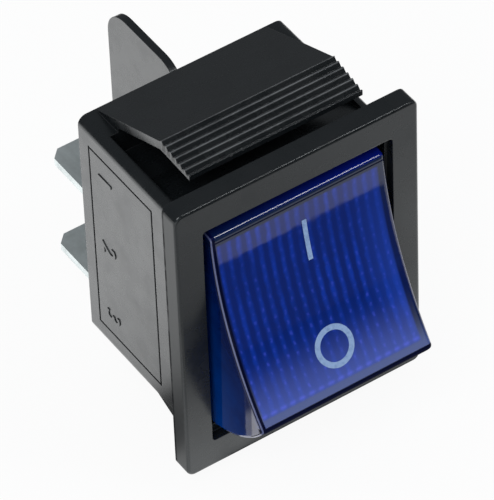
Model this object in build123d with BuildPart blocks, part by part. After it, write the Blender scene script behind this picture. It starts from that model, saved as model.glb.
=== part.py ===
from build123d import *
from math import asin, cos, radians, sin, sqrt
import os

# A lit double-pole rocker switch that snaps into a 30 by 22 mm panel cut-out.
# X runs along the rocker's pivot, +Y goes into the panel and +Z is the end marked I.
# The origin is the middle of the cut-out, on the panel's face behind the bezel.
# The rocker stands as pressed at the I end, which is the ON position.

# Bezel, the flange that lies on the panel
bezel_width = 25.0
bezel_height = 32.0
bezel_thickness = 2.0
bezel_corner_radius = 0.8
bezel_edge_radius = 0.3

# Body behind the panel
body_width = 21.5
body_height = 26.0
body_depth = 15.9
body_corner_radius = 0.9
floor_thickness = 1.5
partition_thickness = 1.2

# Recess in the bezel and the well that the rocker turns in
recess_width = 19.6
recess_height = 25.8
recess_depth = 1.0
recess_corner_radius = 0.4
well_width = 19.2
well_gap = 0.34
well_end_depth = 9.0

# Sunk line round the field on each side of the body
field_front = 4.45
field_length = 10.0
field_height = 21.7
field_line_width = 0.22
field_line_depth = 0.15

# Snap wings on the two short sides
wing_width = 17.8
wing_thickness = 0.9
wing_root_length = 3.6
wing_crest_depth = 5.3
wing_crest_height = 17.5
wing_tip_gap = 1.1
wing_tip_drop = 0.85
wing_tip_thickness = 0.55
wing_shoulder = 0.25
wing_groove_count = 6
wing_groove_side = 0.42
pocket_width = 19.5
pocket_floor_height = 10.45
pocket_wall = 0.65

# Insulating fin behind the body, between the poles
fin_thickness = 0.75
fin_height = 24.2
fin_length = 11.4
fin_corner_radius = 3.0

# Rocker
pivot_depth = 0.85
on_angle = 21.6
trunnion_radius = 1.4
trunnion_clearance = 0.05
trunnion_engagement = 0.65
socket_end_gap = 0.1
cap_face_height = 6.8
cap_half_length = 9.6
cap_half_width_front = 9.0
cap_half_width_back = 9.3
cap_skirt_depth = 3.05
cap_dish_radius = 34.0
cap_wall = 1.0
cap_roof = 1.2
cap_cavity_half_width = 8.1
cap_edge_radius = 0.45
prism_count = 16
prism_pitch = 1.0
prism_width = 0.5
prism_depth = 0.45

# Plungers and their carrier
pole_spacing = 11.0
carrier_front = 0.2
carrier_thickness = 1.2
carrier_half_length = 8.6
carrier_fit = 0.05
barrel_radius = 2.35
barrel_end = 8.7
barrel_lip = 0.8
plunger_radius = 1.5
plunger_nose_radius = 1.25
plunger_nose_flat = 0.01
plunger_clearance = 0.05
plunger_length = 3.5
plunger_nose_gap = 0.05
plunger_seat_gap = 0.02
plunger_bore_radius = 1.1
plunger_bore_depth = 2.8
plunger_float = 0.6
spring_radius = 0.85
spring_wire_radius = 0.15
spring_turns = 6
wire_sides = 6

# Lamp circuit inside the rocker
lamp_radius = 1.5
lamp_length = 8.2
lamp_neck_radius = 0.75
lamp_pip_radius = 0.4
lamp_pip_length = 0.8
lamp_start = -3.6
lamp_height = -1.9
lamp_lead_offset = 0.5
cradle_thickness = 0.8
cradle_spacing = 4.6
resistor_radius = 1.1
resistor_length = 6.2
resistor_waist_radius = 0.9
resistor_edge_chamfer = 0.15
resistor_place = -4.6
lead_radius = 0.25
lead_hole_radius = 0.35
lead_bend_radius = 0.45
lead_side_step = 1.0

# Moving contacts, rocking on the inner edge of the common terminals
fulcrum_depth = 11.8
contact_tilt = 9.0
contact_thickness = 0.7
contact_width = 5.0
contact_waist_width = 3.2
contact_waist_length = 2.0
contact_dish_radius = 7.7
contact_dish_half_length = 4.5
contact_half_length = 8.2
contact_sag = 0.3
contact_edge_gap = 0.1

# Rivets that meet when the switch is on
rivet_place = 6.9
rivet_radius = 1.3
rivet_rim = 0.25
rivet_height = 0.55
rivet_shank_radius = 0.65

# Terminals, 6.3 by 0.8 mm tabs
tab_width = 6.3
tab_thickness = 0.8
tab_tip_depth = 25.0
tab_chamfer = 0.9
tab_hole_radius = 0.85
tab_hole_place = 4.0
switched_tab_drop = 10.7
slot_clearance = 0.05
shoulder_width = 7.2
shoulder_length = 1.0
ear_width = 0.7
ear_height = 1.6
flange_reach = 5.2
flange_gap = 0.25
bend_radius = 0.9
blank_slot_depth = 1.0

# Values that follow from the sizes above
floor_depth = body_depth - floor_thickness
root_front = body_depth - wing_root_length
pole_x = pole_spacing / 2
cap_end_radius = sqrt(cap_face_height**2 + cap_half_length**2)
well_radius = cap_end_radius + well_gap
chamber_half_height = sqrt(well_radius**2 - (well_end_depth - pivot_depth) ** 2)
contact_top_depth = fulcrum_depth + contact_sag
plunger_reach = contact_top_depth - plunger_nose_gap - pivot_depth
bore_floor = carrier_front + carrier_thickness
barrel_bore_radius = plunger_radius + plunger_clearance
plunger_back = barrel_end - barrel_lip - plunger_seat_gap - plunger_length
common_edge_depth = fulcrum_depth + contact_sag + contact_thickness + contact_edge_gap
sides = {"left": -1, "right": 1}

# The rocker's own frame: first axis into the body, second towards the end marked I
rocker_in = Vector(0, cos(radians(on_angle)), -sin(radians(on_angle)))
rocker_up = Vector(0, sin(radians(on_angle)), cos(radians(on_angle)))
pivot = Vector(0, pivot_depth, 0)
rocker_side = Plane(origin=pivot, x_dir=rocker_in, z_dir=(1, 0, 0))
rocker_section = Plane(origin=pivot, x_dir=(1, 0, 0), z_dir=rocker_up)

# The moving contacts' frame: first axis towards the end marked I, second to the rocker
fulcrum = Vector(0, fulcrum_depth, 0)
contact_along = Vector(0, -sin(radians(contact_tilt)), cos(radians(contact_tilt)))
contact_up = Vector(0, -cos(radians(contact_tilt)), -sin(radians(contact_tilt)))
contact_side = Plane(origin=fulcrum, x_dir=contact_along, z_dir=(1, 0, 0))

side_plane = Plane(origin=(0, 0, 0), x_dir=(0, 1, 0), z_dir=(1, 0, 0))
front_plane = Plane(origin=(0, 0, 0), x_dir=(1, 0, 0), z_dir=(0, -1, 0))

os.makedirs("parts", exist_ok=True)


def rocker_point(x, into, up):
    return pivot + Vector(x, 0, 0) + rocker_in * into + rocker_up * up


def rocker_outline(shift, end_radius):
    # Side view of the rocker, its face moved inwards by shift: the face is dished in one arc,
    # the ends are round about the pivot and the skirt's edge is straight
    arc_centre = -cap_face_height - sqrt(cap_dish_radius**2 - cap_half_length**2)
    arc_radius = cap_dish_radius + shift
    top = (arc_centre**2 - arc_radius**2 + end_radius**2) / (2 * arc_centre)
    top_half = sqrt(end_radius**2 - top**2)
    skirt_half = sqrt(end_radius**2 - cap_skirt_depth**2)
    with BuildLine(mode=Mode.PRIVATE) as outline:
        ThreePointArc((top, top_half), (arc_centre + arc_radius, 0), (top, -top_half))
        ThreePointArc((top, -top_half), (0, -end_radius), (cap_skirt_depth, -skirt_half))
        Line((cap_skirt_depth, -skirt_half), (cap_skirt_depth, skirt_half))
        ThreePointArc((cap_skirt_depth, skirt_half), (0, end_radius), (top, top_half))
    return outline.line


def is_face_edge(edge):
    # The edges round the rocker's dished face, in its own frame
    middle = rocker_side.to_local_coords(edge.center())
    at_end = abs(middle.Z) < cap_edge_radius and middle.X < -cap_face_height + cap_edge_radius
    at_flank = abs(middle.Z) > cap_half_width_front - cap_edge_radius and middle.X < -cap_face_height / 2
    return at_end or at_flank


def rivet_section(plane, shank_length):
    # Half section of a rivet on a plane whose second axis is the rivet's own, towards its head
    dome = rivet_height - rivet_rim
    dome_radius = (rivet_radius**2 + dome**2) / (2 * dome)
    half_turn = asin(rivet_radius / dome_radius) / 2
    dome_middle = (dome_radius * sin(half_turn), rivet_height - dome_radius * (1 - cos(half_turn)))
    with BuildSketch(plane) as section:
        with BuildLine():
            Polyline((0, rivet_height), (0, -shank_length), (rivet_shank_radius, -shank_length),
                     (rivet_shank_radius, 0), (rivet_radius, 0), (rivet_radius, rivet_rim))
            ThreePointArc((rivet_radius, rivet_rim), dome_middle, (0, rivet_height))
        make_face()
    revolve(section.sketch, axis=Axis(plane.origin, plane.y_dir))


def lead(points, name):
    # A bent lead; its wire has flat sides, so that it needs few faces
    with BuildPart() as wire:
        with BuildLine() as path:
            FilletPolyline(*points, radius=lead_bend_radius)
        with BuildSketch(Plane(origin=path.line @ 0, z_dir=path.line % 0)):
            RegularPolygon(lead_radius, wire_sides)
        sweep()
    wire.part.label = name
    export_step(wire.part, f"parts/{name}.step")


def make_wing(direction):
    # One snap wing, seen from the side; direction is 1 for the top and -1 for the bottom
    foot_height = body_height / 2
    shoulder_depth = wing_crest_depth + wing_shoulder
    shoulder_height = wing_crest_height - wing_shoulder
    slope = (shoulder_height - foot_height) / (body_depth - shoulder_depth)
    under = wing_thickness * sqrt(1 + slope**2)
    tip_height = wing_crest_height - wing_tip_drop
    outline = [
        (body_depth, foot_height),
        (shoulder_depth, shoulder_height),
        (wing_crest_depth, wing_crest_height),
        (wing_tip_gap, tip_height),
        (wing_tip_gap, tip_height - wing_tip_thickness),
        (shoulder_depth, shoulder_height - under),
        (root_front, foot_height + slope * wing_root_length - under),
        (root_front, foot_height - wing_thickness),
        (body_depth, foot_height - wing_thickness),
    ]
    run = wing_crest_depth - wing_tip_gap
    with BuildSketch(side_plane) as section:
        with BuildLine():
            Polyline(*[(y, direction * z) for y, z in outline], close=True)
        make_face()
        for index in range(wing_groove_count):
            share = (index + 0.5) / wing_groove_count
            ridge_height = wing_crest_height - wing_tip_drop * share
            place = (wing_crest_depth - run * share, direction * ridge_height)
            with Locations(place):
                Rectangle(wing_groove_side, wing_groove_side, rotation=45, mode=Mode.SUBTRACT)
    extrude(section.sketch, amount=wing_width / 2, both=True)


# Housing: bezel, body, wings and fin are one moulding
with BuildPart() as housing:
    # Bezel, with its outer edges rounded
    with BuildSketch(front_plane):
        RectangleRounded(bezel_width, bezel_height, bezel_corner_radius)
    extrude(amount=bezel_thickness)
    fillet(housing.faces().sort_by(Axis.Y)[0].edges(), bezel_edge_radius)
    # Body, with its rear corners and edges rounded
    with BuildPart(mode=Mode.PRIVATE) as block:
        with BuildSketch(front_plane.offset(-body_depth)):
            RectangleRounded(body_width, body_height, body_corner_radius)
        extrude(amount=body_depth)
    add(block.part)
    # Fin between the poles
    with BuildSketch(side_plane) as fin:
        with Locations((body_depth + fin_length / 2, 0)):
            Rectangle(fin_length, fin_height)
        fillet(fin.vertices().group_by(Axis.Y)[-1], fin_corner_radius)
    extrude(amount=fin_thickness / 2, both=True)
    # Pockets that the wings bend into: flat, then an arc about the pivot, then flat again
    with BuildSketch(side_plane):
        with Locations((root_front / 2, 0)):
            Rectangle(root_front, bezel_height)
        with Locations((pivot_depth, 0)):
            Circle(well_radius + pocket_wall, mode=Mode.SUBTRACT)
        with Locations((pivot_depth / 2, 0)):
            Rectangle(pivot_depth, 2 * (well_radius + pocket_wall), mode=Mode.SUBTRACT)
        with Locations((root_front / 2, 0)):
            Rectangle(root_front, 2 * pocket_floor_height, mode=Mode.SUBTRACT)
    extrude(amount=pocket_width / 2, both=True, mode=Mode.SUBTRACT)
    make_wing(1)
    make_wing(-1)
    # Recess in the bezel's face
    with BuildSketch(front_plane.offset(bezel_thickness)):
        RectangleRounded(recess_width, recess_height, recess_corner_radius)
    extrude(amount=-recess_depth, mode=Mode.SUBTRACT)
    # Well for the rocker, round about the pivot
    well_front = recess_depth - bezel_thickness
    with BuildSketch(side_plane):
        with Locations((pivot_depth, 0)):
            Circle(well_radius)
        with Locations(((well_front + well_end_depth) / 2, 0)):
            Rectangle(well_end_depth - well_front, bezel_height, mode=Mode.INTERSECT)
    extrude(amount=well_width / 2, both=True, mode=Mode.SUBTRACT)
    # One contact chamber for each pole, with room behind for the bent terminal
    chamber_width = (well_width - partition_thickness) / 2
    chamber_x = (well_width + partition_thickness) / 4
    flange_room = switched_tab_drop + tab_thickness / 2 + flange_gap
    for direction in sides.values():
        with BuildSketch(front_plane.offset(-floor_depth)):
            with Locations((direction * chamber_x, 0)):
                Rectangle(chamber_width, 2 * chamber_half_height)
        extrude(amount=floor_depth - well_end_depth, mode=Mode.SUBTRACT)
        with BuildSketch(front_plane.offset(-floor_depth)):
            with Locations((direction * pole_x, -flange_room / 2)):
                Rectangle(tab_width + 2 * flange_gap, flange_room)
        extrude(amount=floor_thickness, mode=Mode.SUBTRACT)
        # Slots for the tabs, and a blind one where this version has no terminal
        with BuildSketch(front_plane.offset(-body_depth)):
            with Locations((direction * pole_x, 0), (direction * pole_x, -switched_tab_drop)):
                Rectangle(tab_width + 2 * slot_clearance, tab_thickness + 2 * slot_clearance)
        extrude(amount=floor_thickness, mode=Mode.SUBTRACT)
        with BuildSketch(front_plane.offset(-body_depth)):
            with Locations((direction * pole_x, switched_tab_drop)):
                Rectangle(tab_width + 2 * slot_clearance, tab_thickness + 2 * slot_clearance)
        extrude(amount=blank_slot_depth, mode=Mode.SUBTRACT)
        # Socket for the rocker's trunnion
        socket_depth = trunnion_engagement + socket_end_gap
        with BuildSketch(side_plane.offset(direction * well_width / 2)):
            with Locations((pivot_depth, 0)):
                Circle(trunnion_radius + trunnion_clearance)
        extrude(amount=direction * socket_depth, mode=Mode.SUBTRACT)
        # Sunk line round the field on this side
        with BuildSketch(side_plane.offset(direction * body_width / 2)):
            with Locations((field_front + field_length / 2, 0)):
                Rectangle(field_length, field_height)
                inner_length = field_length - 2 * field_line_width
                Rectangle(inner_length, field_height - 2 * field_line_width, mode=Mode.SUBTRACT)
        extrude(amount=-direction * field_line_depth, mode=Mode.SUBTRACT)
housing.part.label = "housing"
export_step(housing.part, "parts/housing.step")

# Rocker cap: hollow, dished, with prisms under its face and a trunnion on each side
prism_places = [(index - (prism_count - 1) / 2) * prism_pitch for index in range(prism_count)]
cavity_end_radius = cap_end_radius - cap_wall
with BuildPart() as rocker_cap:
    with BuildSketch(rocker_side):
        with BuildLine():
            add(rocker_outline(0, cap_end_radius))
        make_face()
    extrude(amount=cap_half_width_back, both=True)
    # Side walls that lean in towards the face
    with BuildSketch(rocker_section):
        with BuildLine():
            Polyline((-cap_half_width_front, -cap_face_height), (cap_half_width_front, -cap_face_height),
                     (cap_half_width_back, cap_skirt_depth), (-cap_half_width_back, cap_skirt_depth),
                     close=True)
        make_face()
    extrude(amount=cap_end_radius, both=True, mode=Mode.INTERSECT)
    fillet(rocker_cap.edges().filter_by(is_face_edge), cap_edge_radius)
    # Hollow underside
    with BuildSketch(rocker_side):
        with BuildLine():
            add(rocker_outline(cap_roof, cavity_end_radius))
        make_face()
    extrude(amount=cap_cavity_half_width, both=True, mode=Mode.SUBTRACT)
    # Prisms that break up the lamp's light
    with BuildSketch(*[rocker_side.offset(place) for place in prism_places]):
        with BuildLine():
            add(rocker_outline(cap_roof, cavity_end_radius))
        make_face()
        with BuildLine():
            add(rocker_outline(cap_roof + prism_depth, cavity_end_radius))
        make_face(mode=Mode.SUBTRACT)
    extrude(amount=prism_width / 2, both=True)
    # Trunnions
    for direction in sides.values():
        with BuildSketch(rocker_side.offset(direction * (cap_half_width_back - cap_wall))):
            Circle(trunnion_radius)
        extrude(amount=direction * (well_width / 2 + trunnion_engagement - cap_half_width_back + cap_wall))
rocker_cap.part.label = "rocker_cap"
export_step(rocker_cap.part, "parts/rocker_cap.step")

# Carrier inside the cap: a plate with two plunger barrels and the lamp's cradles
carrier_half_width = cap_cavity_half_width - carrier_fit
cradle_front = lamp_height + lamp_radius / 2
with BuildPart() as carrier:
    with BuildSketch(rocker_side):
        with Locations((carrier_front + carrier_thickness / 2, 0)):
            Rectangle(carrier_thickness, 2 * carrier_half_length)
    extrude(amount=carrier_half_width, both=True)
    for direction in sides.values():
        barrel_start = rocker_point(direction * pole_x, bore_floor, 0)
        barrel_plane = Plane(origin=barrel_start, x_dir=(1, 0, 0), z_dir=rocker_in)
        with BuildSketch(barrel_plane):
            Circle(barrel_radius)
        extrude(amount=barrel_end - bore_floor)
        with BuildSketch(barrel_plane):
            Circle(barrel_bore_radius)
        extrude(amount=barrel_end - barrel_lip - bore_floor, mode=Mode.SUBTRACT)
        with BuildSketch(barrel_plane):
            Circle(plunger_nose_radius + plunger_clearance)
        extrude(amount=barrel_end - bore_floor, mode=Mode.SUBTRACT)
        # Hole for the lead that feeds the plunger's spring
        with BuildSketch(barrel_plane):
            with Locations((0, -lamp_lead_offset)):
                Circle(lead_hole_radius)
        extrude(amount=-carrier_thickness, mode=Mode.SUBTRACT)
        # Cradle under the lamp
        cradle_x = lamp_start + lamp_length / 2 + direction * cradle_spacing / 2
        with BuildSketch(rocker_side.offset(cradle_x)):
            with Locations(((cradle_front + carrier_front) / 2, 0)):
                Rectangle(carrier_front - cradle_front, 2 * lamp_radius)
            with Locations((lamp_height, 0)):
                Circle(lamp_radius + carrier_fit, mode=Mode.SUBTRACT)
        extrude(amount=cradle_thickness / 2, both=True)
carrier.part.label = "carrier"
export_step(carrier.part, "parts/carrier.step")

# Neon lamp: a glass bulb, narrowed where its leads come out and drawn to a pip at its round end
round_start = lamp_length - lamp_pip_length - lamp_radius
round_end = round_start + sqrt(lamp_radius**2 - lamp_pip_radius**2)
round_middle = (round_start + lamp_radius * sin(radians(45)), lamp_radius * cos(radians(45)))
lamp_plane = Plane(origin=rocker_point(lamp_start, lamp_height, 0), x_dir=(1, 0, 0), z_dir=rocker_up)
with BuildPart() as neon_lamp:
    with BuildSketch(lamp_plane):
        with BuildLine():
            Polyline((round_end, lamp_pip_radius), (lamp_length, 0), (0, 0), (0, lamp_neck_radius),
                     (lamp_neck_radius, lamp_radius), (round_start, lamp_radius))
            ThreePointArc((round_start, lamp_radius), round_middle, (round_end, lamp_pip_radius))
        make_face()
    revolve(axis=Axis(rocker_point(0, lamp_height, 0), (1, 0, 0)))
neon_lamp.part.label = "neon_lamp"
export_step(neon_lamp.part, "parts/neon_lamp.step")

# Resistor: a body with two raised ends, lying on the carrier
resistor_height = carrier_front - resistor_radius - carrier_fit
resistor_end_length = resistor_length / 4
resistor_middle = rocker_point(0, resistor_height, resistor_place)
resistor_plane = Plane(origin=resistor_middle, x_dir=(1, 0, 0), z_dir=rocker_up)
with BuildPart() as resistor:
    with BuildSketch(resistor_plane) as resistor_half:
        with Locations((0, resistor_waist_radius / 2)):
            Rectangle(resistor_length, resistor_waist_radius)
        with GridLocations(resistor_length - resistor_end_length, 0, 2, 1):
            with Locations((0, resistor_radius / 2)):
                Rectangle(resistor_end_length, resistor_radius)
        chamfer(resistor_half.vertices().group_by(Axis.Y)[-1], resistor_edge_chamfer)
    revolve(axis=Axis(resistor_middle, (1, 0, 0)))
resistor.part.label = "resistor"
export_step(resistor.part, "parts/resistor.step")

# Leads: lamp to the left spring, lamp to resistor, resistor to the right spring
resistor_end = resistor_length / 2
lead(
    [
        rocker_point(lamp_start, lamp_height, lamp_lead_offset),
        rocker_point(-pole_x, lamp_height, lamp_lead_offset),
        rocker_point(-pole_x, bore_floor, lamp_lead_offset),
    ],
    "lamp_lead",
)
lead(
    [
        rocker_point(lamp_start, lamp_height, -lamp_lead_offset),
        rocker_point(lamp_start - lead_side_step, lamp_height, -lamp_lead_offset),
        rocker_point(-resistor_end - lead_side_step, resistor_height, resistor_place),
        rocker_point(-resistor_end, resistor_height, resistor_place),
    ],
    "resistor_inner_lead",
)
lead(
    [
        rocker_point(resistor_end, resistor_height, resistor_place),
        rocker_point(pole_x, resistor_height, resistor_place),
        rocker_point(pole_x, resistor_height, lamp_lead_offset),
        rocker_point(pole_x, bore_floor, lamp_lead_offset),
    ],
    "resistor_outer_lead",
)

# Plungers, each with its spring in the cup behind its nose
spring_start = bore_floor + plunger_float + plunger_seat_gap + spring_wire_radius
spring_end = plunger_back + plunger_bore_depth - spring_wire_radius
for side, direction in sides.items():
    plunger_plane = Plane(
        origin=rocker_point(direction * pole_x, plunger_back, 0), x_dir=(1, 0, 0), z_dir=rocker_in
    )
    nose_length = plunger_reach - plunger_back - plunger_nose_radius
    with BuildPart() as plunger:
        with BuildSketch(plunger_plane):
            Circle(plunger_radius)
        extrude(amount=plunger_length)
        with BuildSketch(plunger_plane):
            Circle(plunger_nose_radius)
        extrude(amount=nose_length + plunger_nose_radius)
        plunger_axis = Axis(plunger_plane.origin, rocker_in)
        nose_edge = plunger.edges().filter_by(GeomType.CIRCLE).sort_by(plunger_axis)[-1]
        fillet(nose_edge, plunger_nose_radius - plunger_nose_flat)
        with BuildSketch(plunger_plane):
            Circle(plunger_bore_radius)
        extrude(amount=plunger_bore_depth, mode=Mode.SUBTRACT)
    plunger.part.label = f"plunger_{side}"
    export_step(plunger.part, f"parts/plunger_{side}.step")

    with BuildPart() as spring:
        with BuildLine() as coil:
            Helix(
                (spring_end - spring_start) / spring_turns,
                spring_end - spring_start,
                spring_radius,
                center=rocker_point(direction * pole_x, spring_start, 0),
                direction=rocker_in,
            )
        with BuildSketch(Plane(origin=coil.line @ 0, z_dir=coil.line % 0)):
            RegularPolygon(spring_wire_radius, wire_sides)
        sweep()
    spring.part.label = f"plunger_spring_{side}"
    export_step(spring.part, f"parts/plunger_spring_{side}.step")

# Moving contacts: a dished strip with a flat wing at each end and a waist at the fulcrum
dish_centre = contact_dish_radius - contact_sag
dish_edge = dish_centre - sqrt(contact_dish_radius**2 - contact_dish_half_length**2)
wing_under = dish_edge - contact_thickness
under_radius = contact_dish_radius + contact_thickness
under_half = sqrt(under_radius**2 - (dish_centre - wing_under) ** 2)
for side, direction in sides.items():
    strip_plane = contact_side.offset(direction * pole_x)
    rivet_origin = strip_plane.from_local_coords((-rivet_place, wing_under))
    with BuildPart() as moving_contact:
        with BuildSketch(strip_plane):
            with BuildLine():
                ThreePointArc((-contact_dish_half_length, dish_edge), (0, -contact_sag),
                              (contact_dish_half_length, dish_edge))
                Polyline((contact_dish_half_length, dish_edge), (contact_half_length, dish_edge),
                         (contact_half_length, wing_under), (under_half, wing_under))
                ThreePointArc((under_half, wing_under), (0, -contact_sag - contact_thickness),
                              (-under_half, wing_under))
                Polyline((-under_half, wing_under), (-contact_half_length, wing_under),
                         (-contact_half_length, dish_edge), (-contact_dish_half_length, dish_edge))
            make_face()
        extrude(amount=contact_width / 2, both=True)
        # Waist that stands between the ears of the common terminal
        for edge in sides.values():
            with BuildSketch(strip_plane.offset(edge * contact_waist_width / 2)):
                Rectangle(contact_waist_length, 2 * contact_dish_radius)
            extrude(amount=edge * contact_width, mode=Mode.SUBTRACT)
        # Hole for the rivet's shank
        with BuildSketch(Plane(origin=rivet_origin, x_dir=(1, 0, 0), z_dir=contact_up)):
            Circle(rivet_shank_radius)
        extrude(amount=contact_thickness, mode=Mode.SUBTRACT)
    moving_contact.part.label = f"moving_contact_{side}"
    export_step(moving_contact.part, f"parts/moving_contact_{side}.step")

    with BuildPart() as moving_rivet:
        rivet_section(Plane(origin=rivet_origin, x_dir=(1, 0, 0), z_dir=contact_along), contact_thickness)
    moving_rivet.part.label = f"moving_rivet_{side}"
    export_step(moving_rivet.part, f"parts/moving_rivet_{side}.step")

# Where the rivets meet when the switch is on
meeting = contact_side.from_local_coords((-rivet_place, wing_under - rivet_height))
flange_front = floor_depth - tab_thickness
for side, direction in sides.items():
    tab_x = direction * pole_x
    tab_length = tab_tip_depth - floor_depth
    shoulder_front = floor_depth - shoulder_length

    # Common terminal: a straight tab with shoulders, an edge for the contact and two ears
    with BuildPart() as common_terminal:
        with BuildSketch(Plane(origin=(tab_x, 0, 0), x_dir=(1, 0, 0), z_dir=(0, 0, 1))):
            with Locations((0, floor_depth + tab_length / 2)):
                blade = Rectangle(tab_width, tab_length)
            chamfer(blade.vertices().group_by(Axis.Y)[-1], tab_chamfer)
            with Locations((0, floor_depth - shoulder_length / 2)):
                Rectangle(shoulder_width, shoulder_length)
            with Locations((0, (common_edge_depth + shoulder_front) / 2)):
                Rectangle(contact_width, shoulder_front - common_edge_depth)
            with GridLocations(contact_width - ear_width, 0, 2, 1):
                with Locations((0, common_edge_depth - ear_height / 2)):
                    Rectangle(ear_width, ear_height)
            with Locations((0, tab_tip_depth - tab_hole_place)):
                Circle(tab_hole_radius, mode=Mode.SUBTRACT)
        extrude(amount=tab_thickness / 2, both=True)
    common_terminal.part.label = f"common_terminal_{side}"
    export_step(common_terminal.part, f"parts/common_terminal_{side}.step")

    # Switched terminal: a tab bent over on the floor to carry the fixed rivet
    with BuildPart() as switched_terminal:
        with BuildSketch(side_plane.offset(tab_x)) as bent:
            with Locations((tab_tip_depth, -switched_tab_drop)):
                Rectangle(tab_tip_depth - flange_front, tab_thickness, align=(Align.MAX, Align.CENTER))
            with Locations((flange_front, -switched_tab_drop - tab_thickness / 2)):
                Rectangle(tab_thickness, flange_reach + tab_thickness, align=(Align.MIN, Align.MIN))
            fillet(bent.vertices().sort_by(Axis((0, 0, 0), (1, 1, 0)))[0], bend_radius)
        extrude(amount=tab_width / 2, both=True)
        tip_edges = switched_terminal.edges().filter_by(Axis.Z).group_by(Axis.Y)[-1]
        chamfer(tip_edges, tab_chamfer)
        with BuildSketch(Plane(origin=(tab_x, 0, -switched_tab_drop), x_dir=(1, 0, 0), z_dir=(0, 0, 1))):
            with Locations((0, tab_tip_depth - tab_hole_place)):
                Circle(tab_hole_radius)
        extrude(amount=tab_thickness, both=True, mode=Mode.SUBTRACT)
        with BuildSketch(Plane(origin=(tab_x, flange_front, meeting.Z), x_dir=(1, 0, 0), z_dir=(0, 1, 0))):
            Circle(rivet_shank_radius)
        extrude(amount=tab_thickness, mode=Mode.SUBTRACT)
    switched_terminal.part.label = f"switched_terminal_{side}"
    export_step(switched_terminal.part, f"parts/switched_terminal_{side}.step")

    with BuildPart() as fixed_rivet:
        rivet_section(Plane(origin=(tab_x, flange_front, meeting.Z), x_dir=(1, 0, 0), z_dir=(0, 0, -1)),
                      tab_thickness)
    fixed_rivet.part.label = f"fixed_rivet_{side}"
    export_step(fixed_rivet.part, f"parts/fixed_rivet_{side}.step")
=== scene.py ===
import bpy
import bmesh
from math import cos, pi, radians, sin, sqrt
from mathutils import Matrix, Vector


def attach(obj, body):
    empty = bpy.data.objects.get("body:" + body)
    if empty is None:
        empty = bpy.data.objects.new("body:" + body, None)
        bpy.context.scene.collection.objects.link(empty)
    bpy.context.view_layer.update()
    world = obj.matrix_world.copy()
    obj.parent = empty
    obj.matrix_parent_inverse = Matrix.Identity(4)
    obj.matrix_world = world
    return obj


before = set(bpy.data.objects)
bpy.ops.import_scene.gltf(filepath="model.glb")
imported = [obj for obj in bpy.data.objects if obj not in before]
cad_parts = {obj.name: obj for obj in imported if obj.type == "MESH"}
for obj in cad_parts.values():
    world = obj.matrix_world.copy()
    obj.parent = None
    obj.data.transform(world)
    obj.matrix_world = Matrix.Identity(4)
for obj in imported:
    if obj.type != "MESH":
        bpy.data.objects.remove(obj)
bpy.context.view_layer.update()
print("loaded", len(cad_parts), "nodes")

scene = bpy.context.scene
mm = 0.001


# Camera
camera = {
    "toCamera": (-0.38259464, -0.58636287, 0.71400275),
    "imageRight": (0.82365959, -0.56657899, -0.02393988),
    "imageUp": (0.41857641, 0.57893594, 0.69973349),
    "distance": 0.4693,
    "focalPixels": 5412.2,
    "frameWidth": 494,
    "aimRight": -0.00769,
    "aimUp": 0.00519,
}


def makeCamera():
    toCamera, right, up = (Vector(camera[k]) for k in ("toCamera", "imageRight", "imageUp"))
    forward = (camera["aimRight"] * right + camera["aimUp"] * up - toCamera).normalized()
    right = forward.cross(up).normalized()
    up = right.cross(forward)
    turn = Matrix((right, up, -forward)).transposed().to_4x4()
    data = bpy.data.cameras.new("photoCamera")
    data.sensor_fit = "HORIZONTAL"
    data.sensor_width = 36
    data.lens = camera["focalPixels"] / camera["frameWidth"] * 36
    data.clip_start, data.clip_end = 0.01, 20
    obj = bpy.data.objects.new("photoCamera", data)
    obj.matrix_world = Matrix.Translation(toCamera * camera["distance"]) @ turn
    scene.collection.objects.link(obj)
    scene.camera = obj


makeCamera()
print("camera set")


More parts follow.
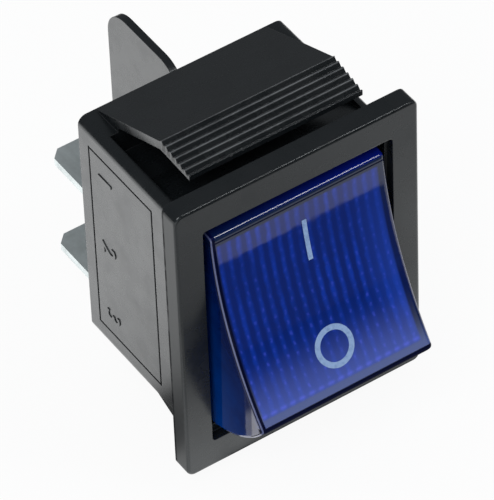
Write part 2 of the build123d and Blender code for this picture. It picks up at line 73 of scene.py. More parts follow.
# Small helpers for node materials
class Maker:
    # Builds one material; every call adds a node and gives back its output
    def __init__(self, name):
        self.material = bpy.data.materials.new(name)
        self.material.use_nodes = True
        tree = self.material.node_tree
        self.nodes, self.links = tree.nodes, tree.links
        self.shader = self.nodes["Principled BSDF"]
        self.coords = self.nodes.new("ShaderNodeTexCoord").outputs["Object"]

    def put(self, socket, value):
        if isinstance(value, bpy.types.NodeSocket):
            self.links.new(value, socket)
        else:
            socket.default_value = value

    def node(self, kind, output=0, settings=None, **inputs):
        made = self.nodes.new(kind)
        for key, value in (settings or {}).items():
            setattr(made, key, value)
        for key, value in inputs.items():
            slot = int(key[1:]) if key[0] == "i" and key[1:].isdigit() else key.replace("_", " ")
            self.put(made.inputs[slot], value)
        return made.outputs[output]

    def noise(self, size, detail=3.0, roughness=0.55, stretch=None):
        # size is the grain's size in mm
        at = self.coords
        if stretch:
            at = self.node("ShaderNodeMapping", Vector=at, Scale=stretch)
        return self.node("ShaderNodeTexNoise", 0, Vector=at, Scale=1000 / size, Detail=detail,
                         Roughness=roughness)

    def remap(self, value, low, high, outLow=0.0, outHigh=1.0):
        return self.node("ShaderNodeMapRange", 0, Value=value, From_Min=low, From_Max=high,
                         To_Min=outLow, To_Max=outHigh)

    def math(self, kind, a, b=0.0, c=0.0):
        return self.node("ShaderNodeMath", 0, {"operation": kind}, i0=a, i1=b, i2=c)

    def times(self, product, *others):
        for other in others:
            product = self.math("MULTIPLY", product, other)
        return product

    def most(self, largest, *others):
        for other in others:
            largest = self.math("MAXIMUM", largest, other)
        return largest

    def absolute(self, value):
        return self.math("ABSOLUTE", value)

    def inverse(self, share):
        return self.math("SUBTRACT", 1.0, share)

    def mix(self, factor, a, b):
        made = self.nodes.new("ShaderNodeMix")
        made.data_type = "RGBA"
        self.put(made.inputs["Factor"], factor)
        self.put(made.inputs["A"], (*a, 1) if isinstance(a, tuple) else a)
        self.put(made.inputs["B"], (*b, 1) if isinstance(b, tuple) else b)
        return made.outputs["Result"]

    def split(self, vector):
        made = self.nodes.new("ShaderNodeSeparateXYZ")
        self.links.new(vector, made.inputs[0])
        return made.outputs

    def bump(self, height, depth, strength=1.0, under=None):
        # depth is the bump's height in mm
        made = self.nodes.new("ShaderNodeBump")
        made.inputs["Strength"].default_value = strength
        made.inputs["Distance"].default_value = depth * mm
        self.links.new(height, made.inputs["Height"])
        if under is not None:
            self.links.new(under, made.inputs["Normal"])
        return made.outputs["Normal"]

    def softEdge(self, radius):
        # A normal that rounds sharp edges over radius mm, and a mask that is 1 on them
        made = self.nodes.new("ShaderNodeBevel")
        made.samples = 6
        made.inputs["Radius"].default_value = radius * mm
        flat = self.nodes.new("ShaderNodeNewGeometry").outputs["Normal"]
        same = self.node("ShaderNodeVectorMath", 1, {"operation": "DOT_PRODUCT"}, i0=made.outputs[0], i1=flat)
        return made.outputs[0], self.remap(same, 0.99, 0.8)

    def ramp(self, value, stops):
        # Level by position; stops are (place from 0 to 1, level)
        made = self.nodes.new("ShaderNodeValToRGB")
        band = made.color_ramp
        while len(band.elements) < len(stops):
            band.elements.new(0.5)
        for element, (place, level) in zip(band.elements, stops):
            element.position = place
            element.color = (level, level, level, 1)
        self.links.new(value, made.inputs[0])
        return made.outputs[0]

    def finish(self, color=None, rough=None, normal=None, **fixed):
        if color is not None:
            self.put(self.shader.inputs["Base Color"], color)
        if rough is not None:
            self.put(self.shader.inputs["Roughness"], rough)
        if normal is not None:
            self.put(self.shader.inputs["Normal"], normal)
        for key, value in fixed.items():
            self.shader.inputs[key.replace("_", " ")].default_value = value
        return self.material


def dress(nodeName, material):
    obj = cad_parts[nodeName]
    obj.data.materials.clear()
    obj.data.materials.append(material)


# Housing: black moulded nylon; places and sizes are in mm
housingNylon = {
    "color": (0.0062, 0.0078, 0.009),
    "dustColor": (0.024, 0.024, 0.026),
    "dustShare": 0.14,
    "speckShare": 0.5,
    "edgeHighlightColor": (0.05, 0.05, 0.053),
    "edgeHighlightShare": 0.7,
    "edgeRadius": 0.09,
    "ridgeHighlightColor": (0.13, 0.135, 0.14),
    "ridgeDepth": (5.3, 1.1),
    "ridgeCount": 6,
    "wingFrom": (16.4, 16.5),
    "grainSize": 0.16,
    "grainDepth": 0.0035,
    "wavinessSize": 5.0,
    "wavinessDepth": 0.02,
    "patchSize": 2.6,
    "roughLow": 0.2,
    "roughHigh": 0.34,
    "rimFrom": (12.35, 12.45),
    "rimRough": 0.48,
    "rimShadeLine": (-0.3, -0.22),
    "specular": {"plain": 0.5, "rim": 0.44, "shadeLineCut": 0.42, "grooveCut": 0.28},
    "ior": 1.56,
    "sheenTint": (0.95, 1.0, 1.02, 1),
}


def inMm(pair):
    return [value * mm for value in pair]


def wingRidges(m, y, z, patches):
    # Where the wings' grooves are, and a mask that is 1 on the ridge tops, where a highlight is painted
    s = housingNylon
    count = s["ridgeCount"]
    share = m.remap(y, *inMm(s["ridgeDepth"]), 0.0, count)
    onWing = m.times(m.remap(m.absolute(z), *inMm(s["wingFrom"])), m.remap(share, 0.0, 0.02),
                     m.remap(share, count - 0.1, count - 0.05, 1.0, 0.0))
    offRidge = m.math("PINGPONG", share, 0.5)
    ridgeHighlight = m.times(m.remap(offRidge, 0.05, 0.11, 1.0, 0.0), m.remap(patches, 0.3, 0.6, 0.4, 1.0))
    return onWing, ridgeHighlight


def makeHousingNylon(name, edgeRadius):
    s, specular = housingNylon, housingNylon["specular"]
    m = Maker(name)
    x, y, z = m.split(m.coords)
    grain = m.noise(s["grainSize"], 4.0, 0.6)
    flow = m.noise(s["wavinessSize"], 2.0, stretch=(1.0, 0.45, 1.0))
    patches = m.noise(s["patchSize"], 4.0, 0.65)
    specks = m.remap(m.noise(0.34, 2.0), 0.69, 0.76)
    dust = m.most(m.times(m.remap(patches, 0.42, 0.75), s["dustShare"]), m.times(specks, s["speckShare"]))
    color = m.mix(dust, s["color"], s["dustColor"])
    rounded, onEdge = m.softEdge(edgeRadius)
    # Sharp edges painted lighter where the bevel mask is: a painted highlight along the rounded edges
    color = m.mix(m.times(onEdge, s["edgeHighlightShare"]), color, s["edgeHighlightColor"])
    onWing, ridgeHighlight = wingRidges(m, y, z, patches)
    # The ridge tops painted lighter, patchy along them: a painted highlight
    color = m.mix(m.times(ridgeHighlight, onWing), color, s["ridgeHighlightColor"])
    # The bezel's narrow outer sides are duller, with a darker line along their rear edge where they meet the
    # body: painted shade, made by less gloss
    onRim = m.remap(m.absolute(x), *inMm(s["rimFrom"]))
    rough = m.most(m.remap(patches, 0.3, 0.7, s["roughLow"], s["roughHigh"]), m.times(onRim, s["rimRough"]))
    rimShadeLine = m.times(onRim, m.remap(y, *inMm(s["rimShadeLine"])), m.remap(patches, 0.3, 0.5, 0.5, 1.0))
    shine = m.remap(onRim, 0.0, 1.0, specular["plain"], specular["rim"])
    shine = m.math("MULTIPLY_ADD", rimShadeLine, -specular["shadeLineCut"], shine)
    # Less gloss in the grooves between the ridge highlights, so they stay dark as if in shade
    shine = m.math("MULTIPLY_ADD", m.times(onWing, m.inverse(ridgeHighlight)), -specular["grooveCut"], shine)
    m.put(m.shader.inputs["Specular IOR Level"], shine)
    normal = m.bump(flow, s["wavinessDepth"], 0.6, rounded)
    normal = m.bump(grain, s["grainDepth"], 0.8, normal)
    return m.finish(color, rough, normal, IOR=s["ior"], Specular_Tint=s["sheenTint"])


# How the rocker stands in the frame, in degrees and mm
rockerPlace = {
    "onAngle": 21.6,
    "pivotDepth": 0.85,
    "faceHeight": 6.8,
}


def onRocker(point):
    # A point in the rocker's own axes, in mm, as a place in the frame
    turn = Matrix.Rotation(-radians(rockerPlace["onAngle"]), 3, "X")
    return (turn @ Vector(point) + Vector((0, rockerPlace["pivotDepth"], 0))) * mm


# Rocker cap: translucent blue, with the prisms' lines showing through; places and sizes are in mm
tintedCap = {
    "deep": (0.0007, 0.014, 0.145),
    "line": (0.003, 0.045, 0.47),
    "paintedGlint": (0.05, 0.085, 0.66),
    "paintedGlow": (0.024, 0.08, 0.54),
    "clear": (0.004, 0.013, 0.045),
    "clearReflection": (0.045, 0.075, 0.25),
    # Dark colour for the face's dull edges: painted shade
    "rim": (0.0015, 0.003, 0.02),
    # Light colour for the line on the left edge: painted highlight
    "edgeLineHighlight": (0.12, 0.14, 0.28),
    "litEndWall": (0.0015, 0.008, 0.17),
    "wallShaded": (0.0015, 0.009, 0.075),
    "wallLit": (0.0004, 0.05, 0.3),
    "prismPitch": 1.0,
    "prismShift": 0.33,
    "fieldX": (-8.5, 8.08),
    "fieldAlong": (-8.55, 8.7),
    "lastRow": -8.3,
    "wallTaper": 0.034,
    "edgeLineHighlightX": -8.88,
    "edgeRadius": 0.14,
    "glossyWall": (-7.4, -7.2),
    "ior": 1.56,
}


def capAxes(m):
    # The rocker's own axes in mm: x along the pivot, into the body, and along towards the I end
    s = rockerPlace
    onPivot = m.node("ShaderNodeVectorMath", 0, {"operation": "SUBTRACT"}, i0=m.coords,
                     i1=(0, s["pivotDepth"] * mm, 0))
    turned = m.node("ShaderNodeMapping", Vector=onPivot, Rotation=(radians(s["onAngle"]), 0, 0))
    return m.split(m.node("ShaderNodeVectorMath", 0, {"operation": "SCALE"}, i0=turned, Scale=1000))


def prismColor(m, x, along, cloud):
    # Lines of the prisms on deep blue, with rows of painted glints and a painted glow gathered at the O end
    # and the right edge
    s = tintedCap
    turn = 2 * pi / s["prismPitch"]
    wander = m.remap(m.noise(0.8, 2.0), 0.3, 0.7, -0.06, 0.06)
    across = m.math("ADD", m.math("ADD", x, s["prismShift"]), wander)
    ribs = m.math("COSINE", m.times(across, turn))
    slant = m.math("MULTIPLY_ADD", x, 0.12, m.math("ADD", along, wander))
    rows = m.math("COSINE", m.times(slant, turn))
    uneven = m.remap(m.noise(1.6, 2.0, stretch=(1.0, 0.3, 0.3)), 0.34, 0.66, 0.35, 1.0)
    level = m.math("MULTIPLY_ADD", m.remap(cloud, 0.3, 0.7), 0.4, 0.35)
    color = m.mix(m.times(m.remap(ribs, -0.5, 1.0), uneven, level), s["deep"], s["line"])
    towardsRight = m.times(m.remap(x, 4.5, 8.0), m.remap(along, 7.0, -5.0, 0.35, 1.0))
    towardsO = m.math("POWER", m.remap(along, -2.0, -8.4), 1.5)
    color = m.mix(m.times(m.most(towardsO, m.times(towardsRight, 0.9)), 0.5), color, s["paintedGlow"])
    # Painted glints in rows, brighter towards the O end, and a painted row of them at the field's O end
    sparkle = m.remap(m.noise(0.45, 2.0), 0.4, 0.66, 0.05, 1.0)
    lit = m.math("MULTIPLY_ADD", m.remap(along, 6.0, -5.0), 0.4, 0.16)
    dashes = m.times(m.remap(ribs, 0.5, 1.0), m.remap(rows, -0.2, 0.9), sparkle, lit)
    offRow = m.absolute(m.math("SUBTRACT", along, s["lastRow"]))
    lastRow = m.times(m.remap(offRow, 0.0, 0.24, 1.0, 0.0), m.remap(ribs, -0.9, 0.6, 0.1, 0.75))
    return m.mix(m.most(dashes, lastRow), color, s["paintedGlint"])


def ribbedField(m, x, along, onFace):
    # A mask of the part of the face that has prisms behind it
    (left, right), (low, high) = tintedCap["fieldX"], tintedCap["fieldAlong"]
    return m.times(m.remap(x, left - 0.1, left + 0.1), m.remap(x, right - 0.08, right + 0.12, 1.0, 0.0),
                   m.remap(along, low - 0.12, low + 0.08), m.remap(along, high - 0.1, high + 0.1, 1.0, 0.0),
                   onFace)


def makeTintedCap():
    s = tintedCap
    m = Maker("tintedCap")
    x, into, along = capAxes(m)
    onFace = m.remap(into, -4.4, -4.0, 1.0, 0.0)
    nearTop = m.remap(into, -6.2, -5.9, 1.0, 0.0)
    cloud = m.noise(3.2, 3.0, 0.6)
    # The face's rounded edges are painted dark, with less gloss, as painted shade, but for a painted
    # highlight line on the left one
    onSide = m.math("MULTIPLY_ADD", m.math("ADD", into, rockerPlace["faceHeight"]), s["wallTaper"], x)
    offHighlightLine = m.remap(m.absolute(m.math("SUBTRACT", onSide, s["edgeLineHighlightX"])), 0.03, 0.07)
    leftEdge = m.times(m.remap(onSide, -8.56, -8.62), m.remap(onSide, -8.965, -8.985, 1.0, 0.0), onFace)
    leftHighlightLine = m.times(leftEdge, m.inverse(offHighlightLine))
    leftEdge = m.times(leftEdge, offHighlightLine)
    insideI = m.times(m.remap(along, 8.96, 9.02), m.remap(along, 9.12, 9.18, 1.0, 0.0), nearTop)
    oEnd = m.times(m.remap(along, -9.2, -9.28), nearTop)
    dull = m.most(leftEdge, insideI, oEnd)
    # Clear margin, with a painted reflection towards the O end, and walls painted as light and shade: deep
    # blue at the face and brighter towards the skirt
    clear = m.mix(m.remap(along, -6.5, -8.8), s["clear"], s["clearReflection"])
    clear = m.mix(dull, clear, s["rim"])
    depth = m.math("ADD", into, m.remap(cloud, 0.3, 0.7, -1.2, 1.2))
    wall = m.mix(m.remap(depth, -5.0, 2.0), s["wallShaded"], s["wallLit"])
    margin = m.mix(m.remap(into, -6.5, -5.6), clear, wall)
    # Painted shade on the left edge and the O end, then a painted highlight line along the left edge
    margin = m.mix(m.most(leftEdge, oEnd), margin, s["rim"])
    margin = m.mix(leftHighlightLine, margin, s["edgeLineHighlight"])
    # The I end wall painted bright blue, fading to the left: painted light
    atEnd = m.times(m.remap(along, 9.45, 9.6), m.remap(x, -9.0, 6.0, 0.15, 1.0))
    margin = m.mix(atEnd, margin, s["litEndWall"])
    color = m.mix(ribbedField(m, x, along, onFace), margin, prismColor(m, x, along, cloud))
    # Side walls are dull beside the housing and glossy further out
    wallShine = m.remap(m.split(m.coords)[1], *inMm(s["glossyWall"]), 0.3, -0.4)
    onWall = m.remap(m.absolute(onSide), 8.97, 8.985)
    shine = m.times(m.math("MULTIPLY_ADD", onWall, wallShine, 0.5), m.inverse(dull))
    m.put(m.shader.inputs["Specular IOR Level"], shine)
    scratches = m.noise(0.25, 2.0, 0.5, stretch=(1.0, 8.0, 1.0))
    rough = m.remap(m.noise(1.8, 4.0, 0.7), 0.35, 0.75, 0.02, 0.07)
    normal = m.bump(m.noise(2.6, 2.0), 0.022, 0.4, m.softEdge(s["edgeRadius"])[0])
    normal = m.bump(scratches, 0.0002, 0.4, normal)
    return m.finish(color, rough, normal, IOR=s["ior"], Transmission_Weight=0.1)


# Other plastics, glass and metals
smallParts = {
    "carrierColor": (0.62, 0.62, 0.58),
    "plungerColor": (0.74, 0.73, 0.68),
    "resistorColor": (0.46, 0.33, 0.17),
    "tinColor": (0.66, 0.715, 0.715),
    "brassColor": (0.72, 0.50, 0.20),
    "silverColor": (0.78, 0.77, 0.74),
    "springColor": (0.42, 0.42, 0.43),
    "wireColor": (0.58, 0.58, 0.56),
}


def makePlainPlastic(name, color, roughness):
    m = Maker(name)
    patches = m.noise(2.2, 3.0)
    dark = tuple(0.82 * c for c in color)
    tone = m.mix(m.remap(patches, 0.35, 0.7), color, dark)
    rough = m.remap(patches, 0.3, 0.7, roughness - 0.06, roughness + 0.06)
    normal = m.bump(m.noise(0.2, 3.0), 0.004, 0.6)
    return m.finish(tone, rough, normal, IOR=1.5)


def makeMetal(name, color, roughness, stretch, tarnish=0.35, metallic=1.0):
    m = Maker(name)
    brushed = m.noise(0.22, 3.0, 0.6, stretch=stretch)
    stains = m.noise(1.9, 4.0, 0.65)
    dull = tuple(0.55 * c for c in color)
    share = m.times(m.remap(stains, 0.42, 0.72), tarnish)
    tone = m.mix(share, color, dull)
    tone = m.mix(m.remap(brushed, 0.3, 0.75, 0.0, 0.25), tone, dull)
    rough = m.remap(stains, 0.3, 0.75, roughness - 0.08, roughness + 0.12)
    normal = m.bump(brushed, 0.004, 0.5)
    return m.finish(tone, rough, normal, Metallic=metallic)


def makeResistor():
    # Lacquer with colour bands round the body
    m = Maker("resistorLacquer")
    x = m.split(m.coords)[0]
    color = m.mix(m.remap(m.noise(0.8, 3.0), 0.3, 0.7), smallParts["resistorColor"], (0.36, 0.25, 0.12))
    for place, band in ((-2.3, (0.30, 0.11, 0.02)), (-1.0, (0.28, 0.02, 0.015)),
                        (0.2, (0.40, 0.30, 0.01)), (2.2, (0.38, 0.27, 0.09))):
        distance = m.absolute(m.math("SUBTRACT", x, place * mm))
        color = m.mix(m.remap(distance, 0.26 * mm, 0.32 * mm, 1.0, 0.0), color, band)
    rough = m.remap(m.noise(1.0), 0.3, 0.7, 0.25, 0.4)
    return m.finish(color, rough, m.bump(m.noise(0.5), 0.01, 0.4), IOR=1.5)


def makeGlass():
    m = Maker("lampGlass")
    streaks = m.noise(0.9, 3.0, 0.6, stretch=(0.3, 1.0, 1.0))
    tone = m.mix(m.remap(streaks, 0.3, 0.75), (0.97, 0.96, 0.93), (0.80, 0.78, 0.72))
    rough = m.remap(streaks, 0.3, 0.7, 0.01, 0.06)
    return m.finish(tone, rough, m.bump(streaks, 0.01, 0.3), IOR=1.5, Transmission_Weight=0.9)


tin = makeMetal("tinnedTab", smallParts["tinColor"], 0.46, (0.4, 0.12, 1.0), metallic=0.72)
brass = makeMetal("contactBrass", smallParts["brassColor"], 0.3, (1.0, 1.0, 0.15))
silver = makeMetal("contactSilver", smallParts["silverColor"], 0.28, (1.0, 1.0, 1.0), 0.6)
springWire = makeMetal("springWire", smallParts["springColor"], 0.3, (1.0, 1.0, 1.0))
leadWire = makeMetal("leadWire", smallParts["wireColor"], 0.35, (1.0, 1.0, 1.0))
plungerPlastic = makePlainPlastic("plungerPlastic", smallParts["plungerColor"], 0.35)
dress("housing", makeHousingNylon("housingNylon", housingNylon["edgeRadius"]))
dress("rocker_cap", makeTintedCap())
dress("carrier", makePlainPlastic("carrierPlastic", smallParts["carrierColor"], 0.45))
dress("neon_lamp", makeGlass())
dress("resistor", makeResistor())
for name in ("lamp_lead", "resistor_inner_lead", "resistor_outer_lead"):
    dress(name, leadWire)
for side in ("left", "right"):
    dress(f"plunger_{side}", plungerPlastic)
    dress(f"plunger_spring_{side}", springWire)
    dress(f"moving_contact_{side}", brass)
    dress(f"moving_rivet_{side}", silver)
    dress(f"fixed_rivet_{side}", silver)
    dress(f"common_terminal_{side}", tin)
    dress(f"switched_terminal_{side}", tin)
print("materials made")


# I and O printed on the rocker's dished face
faceShape = {
    "halfLength": 9.6,
    "dishRadius": 34.0,
}
rockerMarks = {
    "barX": 0.26,
    "barTop": 7.06,
    "barBottom": 2.97,
    "barWidth": 0.46,
    "barSteps": 14,
    "ringX": 0.17,
    "ringZ": -5.5,
    "ringOuter": 1.95,
    "ringInner": 1.42,
    "ringSteps": 72,
    "printThickness": 0.02,
    "printColor": (0.24, 0.36, 0.58),
}


def facePoint(x, along, lift):
    # A point on the rocker's face, lift mm in front of it
    s = faceShape
    radius = s["dishRadius"]
    dish = sqrt(radius**2 - along**2) - sqrt(radius**2 - s["halfLength"] ** 2)
    return onRocker((x, dish - rockerPlace["faceHeight"] - lift, along))


def makePrintMaterial():
    m = Maker("markPrint")
    wear = m.noise(0.35, 4.0, 0.7)
    tone = m.mix(m.remap(wear, 0.45, 0.8), rockerMarks["printColor"], (0.12, 0.2, 0.4))
    rough = m.remap(wear, 0.3, 0.7, 0.35, 0.5)
    return m.finish(tone, rough, m.bump(wear, 0.004, 0.5), IOR=1.5)


def printedPatch(name, rows, isRing, material):
    # A thin printed patch on the face, from rows of points across it; a ring's last row meets its first
    mesh = bpy.data.meshes.new(name)
    bm = bmesh.new()
    grids = []
    for lift in (rockerMarks["printThickness"], -rockerMarks["printThickness"] / 2):
        grids.append([[bm.verts.new(facePoint(x, z, lift)) for x, z in row] for row in rows])
    top, bottom = grids
    count = len(rows)
    for i in range(count if isRing else count - 1):
        j = (i + 1) % count
        for k in range(len(top[i]) - 1):
            bm.faces.new((top[i][k], top[i][k + 1], top[j][k + 1], top[j][k]))
            bm.faces.new((bottom[i][k], bottom[j][k], bottom[j][k + 1], bottom[i][k + 1]))
        bm.faces.new((top[i][0], top[j][0], bottom[j][0], bottom[i][0]))
        bm.faces.new((top[i][-1], bottom[i][-1], bottom[j][-1], top[j][-1]))
    if not isRing:
        for i in (0, -1):
            for k in range(len(top[i]) - 1):
                bm.faces.new((top[i][k], bottom[i][k], bottom[i][k + 1], top[i][k + 1]))
    bmesh.ops.recalc_face_normals(bm, faces=bm.faces)
    bm.to_mesh(mesh)
    bm.free()
    obj = bpy.data.objects.new(name, mesh)
    scene.collection.objects.link(obj)
    mesh.materials.append(material)
    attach(obj, "rocker")


def makeMarks():
    s = rockerMarks
    printed = makePrintMaterial()
    rows = []
    for i in range(s["barSteps"] + 1):
        z = s["barBottom"] + (s["barTop"] - s["barBottom"]) * i / s["barSteps"]
        rows.append([(s["barX"] - s["barWidth"] / 2, z), (s["barX"] + s["barWidth"] / 2, z)])
    printedPatch("markBar", rows, False, printed)
    rows = []
    for i in range(s["ringSteps"]):
        a = 2 * pi * i / s["ringSteps"]
        rows.append([(s["ringX"] + r * cos(a), s["ringZ"] + r * sin(a))
                     for r in (s["ringInner"], (s["ringInner"] + s["ringOuter"]) / 2, s["ringOuter"])])
    printedPatch("markRing", rows, True, printed)


makeMarks()
print("rocker marks made")


# Plain numerals beside the terminals
sideNumerals = {
    "height": 2.1,
    "edgeRadius": 0.02,
    "depth": 12.1,
    "places": {"1": 8.4, "2": -0.15, "3": -8.5},
    "raise": 0.06,
    "bevel": 0.02,
    "fontScale": 1.4,
    "sideX": 10.75,
}


def makeNumerals(material):
    s = sideNumerals
    # Glyphs read downwards, with their tops towards the bezel
    turn = Matrix(((0, 0, -1), (0, -1, 0), (-1, 0, 0)))
    for text, z in s["places"].items():
        curve = bpy.data.curves.new(f"numeral{text}", "FONT")
        curve.body = text
        curve.size = s["height"] * s["fontScale"] * mm
        curve.align_x, curve.align_y = "CENTER", "CENTER"
        curve.extrude = s["raise"] * mm
        curve.bevel_depth = s["bevel"] * mm
        curve.resolution_u = 4
        maker = bpy.data.objects.new("maker", curve)
        scene.collection.objects.link(maker)
        bpy.context.view_layer.update()
        mesh = bpy.data.meshes.new_from_object(maker.evaluated_get(bpy.context.evaluated_depsgraph_get()))
        bpy.data.objects.remove(maker)
        mesh.transform(turn.to_4x4())
        mesh.transform(Matrix.Translation(Vector((-s["sideX"], s["depth"], z)) * mm))
        mesh.materials.clear()
        mesh.materials.append(material)
        obj = bpy.data.objects.new(f"numeral{text}", mesh)
        scene.collection.objects.link(obj)
        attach(obj, "base")


makeNumerals(makeHousingNylon("numeralNylon", sideNumerals["edgeRadius"]))
print("numerals made")


# Electrodes inside the lamp's glass
lampElectrodes = {
    "start": -3.3,
    "length": 5.2,
    "radius": 0.24,
    "apart": 0.5,
    "height": -1.9,
    "sides": 16,
}


def makeElectrodes():
    s = lampElectrodes
    sides, length = s["sides"], s["length"]
    m = Maker("electrodeNickel")
    film = m.noise(0.5, 3.0)
    tone = m.mix(m.remap(film, 0.35, 0.7), (0.5, 0.47, 0.42), (0.26, 0.23, 0.2))
    nickel = m.finish(tone, m.remap(film, 0.3, 0.7, 0.3, 0.5), m.bump(film, 0.01, 0.5), Metallic=1.0)
    for index, side in enumerate((-1, 1)):
        bm = bmesh.new()
        profile = [(0.0, 0.6), (0.1, 0.92), (0.25, 1.0), (length - 0.25, 1.0), (length - 0.1, 0.92),
                   (length, 0.6)]
        rings = []
        for step, share in profile:
            ring = []
            for k in range(sides):
                a = 2 * pi * k / sides
                ring.append(bm.verts.new(onRocker((
                    s["start"] + step,
                    s["height"] + share * s["radius"] * cos(a),
                    side * s["apart"] + share * s["radius"] * sin(a)))))
            rings.append(ring)
        for first, second in zip(rings, rings[1:]):
            for k in range(sides):
                bm.faces.new((first[k], first[(k + 1) % sides], second[(k + 1) % sides], second[k]))
        bm.faces.new(rings[0][::-1])
        bm.faces.new(rings[-1])
        bmesh.ops.recalc_face_normals(bm, faces=bm.faces)
        mesh = bpy.data.meshes.new(f"electrode{index + 1}")
        bm.to_mesh(mesh)
        bm.free()
        for face in mesh.polygons:
            face.use_smooth = True
        mesh.materials.append(nickel)
        obj = bpy.data.objects.new(f"electrode{index + 1}", mesh)
        scene.collection.objects.link(obj)
        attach(obj, "rocker")


makeElectrodes()
print("electrodes made")


# Floor, world and lamps
studio = {
    "floorZ": -17.62,
    "floorHalf": 1.5,
    "floorColor": (0.86, 0.86, 0.86),
    "whiteShare": 0.93,
    "glossRange": (-0.06, 0.03),
    "glossAcross": (-0.003, 0.03, 1.9, 2.4),
    "glossFade": (0.065, 0.1, 1.0, 0.05),
    "darkGlossPatch": {"x": (-0.009, -0.007), "near": (-0.0037, -0.0033), "far": (0.009, 0.01), "cut": 0.9},
    "leftGlossPatch": {"x": (-0.03, -0.06)},
    "rightGlossPatch": {"x": (0.043, 0.052), "y": (-0.062, -0.055)},
    "nearGlossPatch": {"x": (0.012, 0.024), "y": (-0.026, -0.02)},
    "glossPatchLevel": 1.1,
    "glossStops": ((0.0, 0.04), (0.128, 0.04), (0.139, 0.35), (0.28, 0.36), (0.36, 0.26), (0.49, 0.22),
                   (0.62, 0.72), (0.69, 0.65), (0.7, 0.1), (0.76, 0.1), (0.79, 0.66), (0.85, 0.74),
                   (0.93, 0.86)),
    "skyColor": (0.95, 1.0, 1.05, 1),
    "diffuseLevel": 0.5,
    "flagInMm": {"x": (-6, 46), "y": -40, "z": (20, 46)},
    "lamps": {
        "keyLamp": {"place": (-0.45, -0.35, 0.75), "size": 0.5, "watts": 3.2, "inGloss": True},
        "fillLamp": {"place": (0.6, -0.75, 0.35), "size": 0.6, "watts": 1.5, "inGloss": False},
        "edgeLamp": {"place": (0.35, -0.405, 0.72), "size": 0.13, "watts": 0.7, "inGloss": True},
    },
}


def makeFloor():
    s = studio
    mesh = bpy.data.meshes.new("floor")
    bm = bmesh.new()
    half = s["floorHalf"]
    corners = [(-half, -half), (half, -half), (half, half), (-half, half)]
    bm.faces.new([bm.verts.new((x, y, s["floorZ"] * mm)) for x, y in corners])
    bmesh.ops.subdivide_edges(bm, edges=bm.edges, cuts=8, use_grid_fill=True)
    bm.to_mesh(mesh)
    bm.free()
    obj = bpy.data.objects.new("floor", mesh)
    scene.collection.objects.link(obj)
    m = Maker("floorPaper")
    fibres = m.noise(1.2, 4.0, 0.6)
    tone = m.mix(m.remap(fibres, 0.3, 0.7), s["floorColor"], tuple(0.985 * c for c in s["floorColor"]))
    m.finish(tone, 0.85, m.bump(fibres, 0.02, 0.2))
    # White to the camera and through clear parts; gloss sees its own painted pattern of light and dark, the
    # rest keeps the shadow
    path = m.nodes.new("ShaderNodeLightPath").outputs
    x, y = m.split(m.coords)[:2]
    glossLevel = m.times(m.ramp(m.remap(y, *s["glossRange"]), s["glossStops"]),
                         m.remap(x, *s["glossAcross"]))
    # Painted reflections: a dark patch under the rocker's end and bright ones on both sides, in the glow that
    # only gloss sees
    glossPatch = s["darkGlossPatch"]
    darkPatch = m.times(m.remap(x, *glossPatch["x"]), m.remap(y, *glossPatch["near"]), m.remap(y, *glossPatch["far"], 1.0, 0.0))
    glossLevel = m.times(glossLevel, m.math("MULTIPLY_ADD", darkPatch, -glossPatch["cut"], 1.0))
    for name in ("leftGlossPatch", "rightGlossPatch", "nearGlossPatch"):
        glossPatch = m.remap(x, *s[name]["x"], 0.0, s["glossPatchLevel"])
        if "y" in s[name]:
            glossPatch = m.times(glossPatch, m.remap(y, *s[name]["y"]))
        glossLevel = m.most(glossLevel, glossPatch)
    glossLevel = m.times(glossLevel, m.remap(y, *s["glossFade"]))
    seen = m.most(path["Is Camera Ray"], path["Is Transmission Ray"])
    share = m.most(m.times(seen, s["whiteShare"]), path["Is Glossy Ray"])
    level = m.node("ShaderNodeMix", 0, {"data_type": "FLOAT"}, Factor=path["Is Glossy Ray"], i2=1.0,
                   i3=glossLevel)
    glow = m.nodes.new("ShaderNodeEmission")
    m.links.new(level, glow.inputs["Strength"])
    blend = m.nodes.new("ShaderNodeMixShader")
    m.links.new(share, blend.inputs[0])
    m.links.new(m.shader.outputs[0], blend.inputs[1])
    m.links.new(glow.outputs[0], blend.inputs[2])
    m.links.new(blend.outputs[0], m.nodes["Material Output"].inputs["Surface"])
    mesh.materials.append(m.material)


def makeFlag():
    # A dark flag that only gloss sees, so that the wing's grooves stay dark
    s = studio["flagInMm"]
    mesh = bpy.data.meshes.new("flag")
    bm = bmesh.new()
    corners = [(s["x"][i], s["z"][j]) for i, j in ((0, 0), (1, 0), (1, 1), (0, 1))]
    bm.faces.new([bm.verts.new(Vector((x, s["y"], z)) * mm) for x, z in corners])
    bm.to_mesh(mesh)
    bm.free()
    obj = bpy.data.objects.new("flag", mesh)
    scene.collection.objects.link(obj)
    m = Maker("flagCloth")
    weave = m.noise(0.8, 3.0)
    tone = m.mix(weave, (0.003, 0.003, 0.003), (0.006, 0.006, 0.006))
    mesh.materials.append(m.finish(tone, m.remap(weave, 0.3, 0.7, 0.85, 0.95)))
    obj.visible_camera = obj.visible_diffuse = obj.visible_transmission = obj.visible_shadow = False


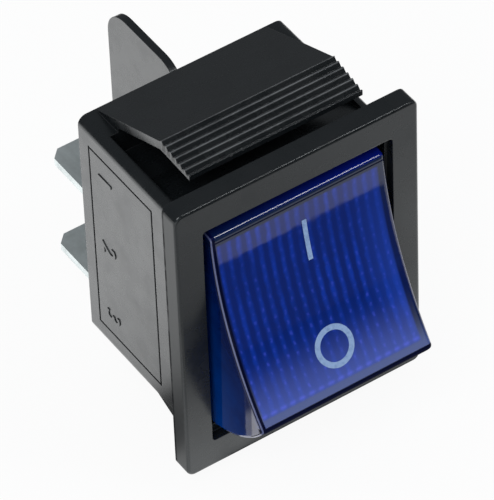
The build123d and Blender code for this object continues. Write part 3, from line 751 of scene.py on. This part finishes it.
def makeWorld():
    s = studio
    world = bpy.data.worlds.new("studio")
    world.use_nodes = True
    scene.world = world
    nodes, links = world.node_tree.nodes, world.node_tree.links
    background = nodes["Background"]
    background.inputs["Color"].default_value = s["skyColor"]

    def math(kind, *values):
        made = nodes.new("ShaderNodeMath")
        made.operation = kind
        for i, value in enumerate(values):
            if isinstance(value, bpy.types.NodeSocket):
                links.new(value, made.inputs[i])
            else:
                made.inputs[i].default_value = value
        return made.outputs[0]

    def ease(value, low, high, outLow, outHigh):
        made = nodes.new("ShaderNodeMapRange")
        made.interpolation_type = "SMOOTHSTEP"
        for key, given in (("From Min", low), ("From Max", high), ("To Min", outLow), ("To Max", outHigh)):
            made.inputs[key].default_value = given
        links.new(value, made.inputs["Value"])
        return made.outputs[0]

    path = nodes.new("ShaderNodeLightPath").outputs
    split = nodes.new("ShaderNodeSeparateXYZ")
    links.new(nodes.new("ShaderNodeTexCoord").outputs["Generated"], split.inputs[0])
    y, z = split.outputs[1:]
    # What gloss shows: bright in front above a dark horizon, dim behind and overhead
    front = ease(y, 0.0, -0.7, 0.0, 1.0)
    inFront = math("MULTIPLY", ease(z, 0.05, 0.4, 0.06, 1.3), ease(z, 0.352, 0.385, 1.0, 0.08))
    elsewhere = ease(z, 0.5, 0.9, 0.17, 0.18)
    gloss = math("MULTIPLY_ADD", front, math("SUBTRACT", inFront, elsewhere), elsewhere)
    seen = math("MAXIMUM", path["Is Camera Ray"], path["Is Transmission Ray"])
    level = math("MULTIPLY_ADD", gloss, path["Is Glossy Ray"],
                 math("MULTIPLY", math("SUBTRACT", 1.0, path["Is Glossy Ray"]), s["diffuseLevel"]))
    level = math("ADD", level, math("MULTIPLY", seen, 1.0 - s["diffuseLevel"]))
    links.new(level, background.inputs["Strength"])


def makeLamps():
    for name, s in studio["lamps"].items():
        data = bpy.data.lights.new(name, "AREA")
        data.shape = "DISK"
        data.size = s["size"]
        data.energy = s["watts"]
        obj = bpy.data.objects.new(name, data)
        place = Vector(s["place"])
        obj.location = place
        obj.rotation_mode = "QUATERNION"
        obj.rotation_quaternion = (-place).to_track_quat("-Z", "Y")
        obj.visible_glossy = s["inGloss"]
        scene.collection.objects.link(obj)


makeFloor()
makeFlag()
makeWorld()
makeLamps()
scene.view_settings.view_transform = "Standard"
print("studio made")
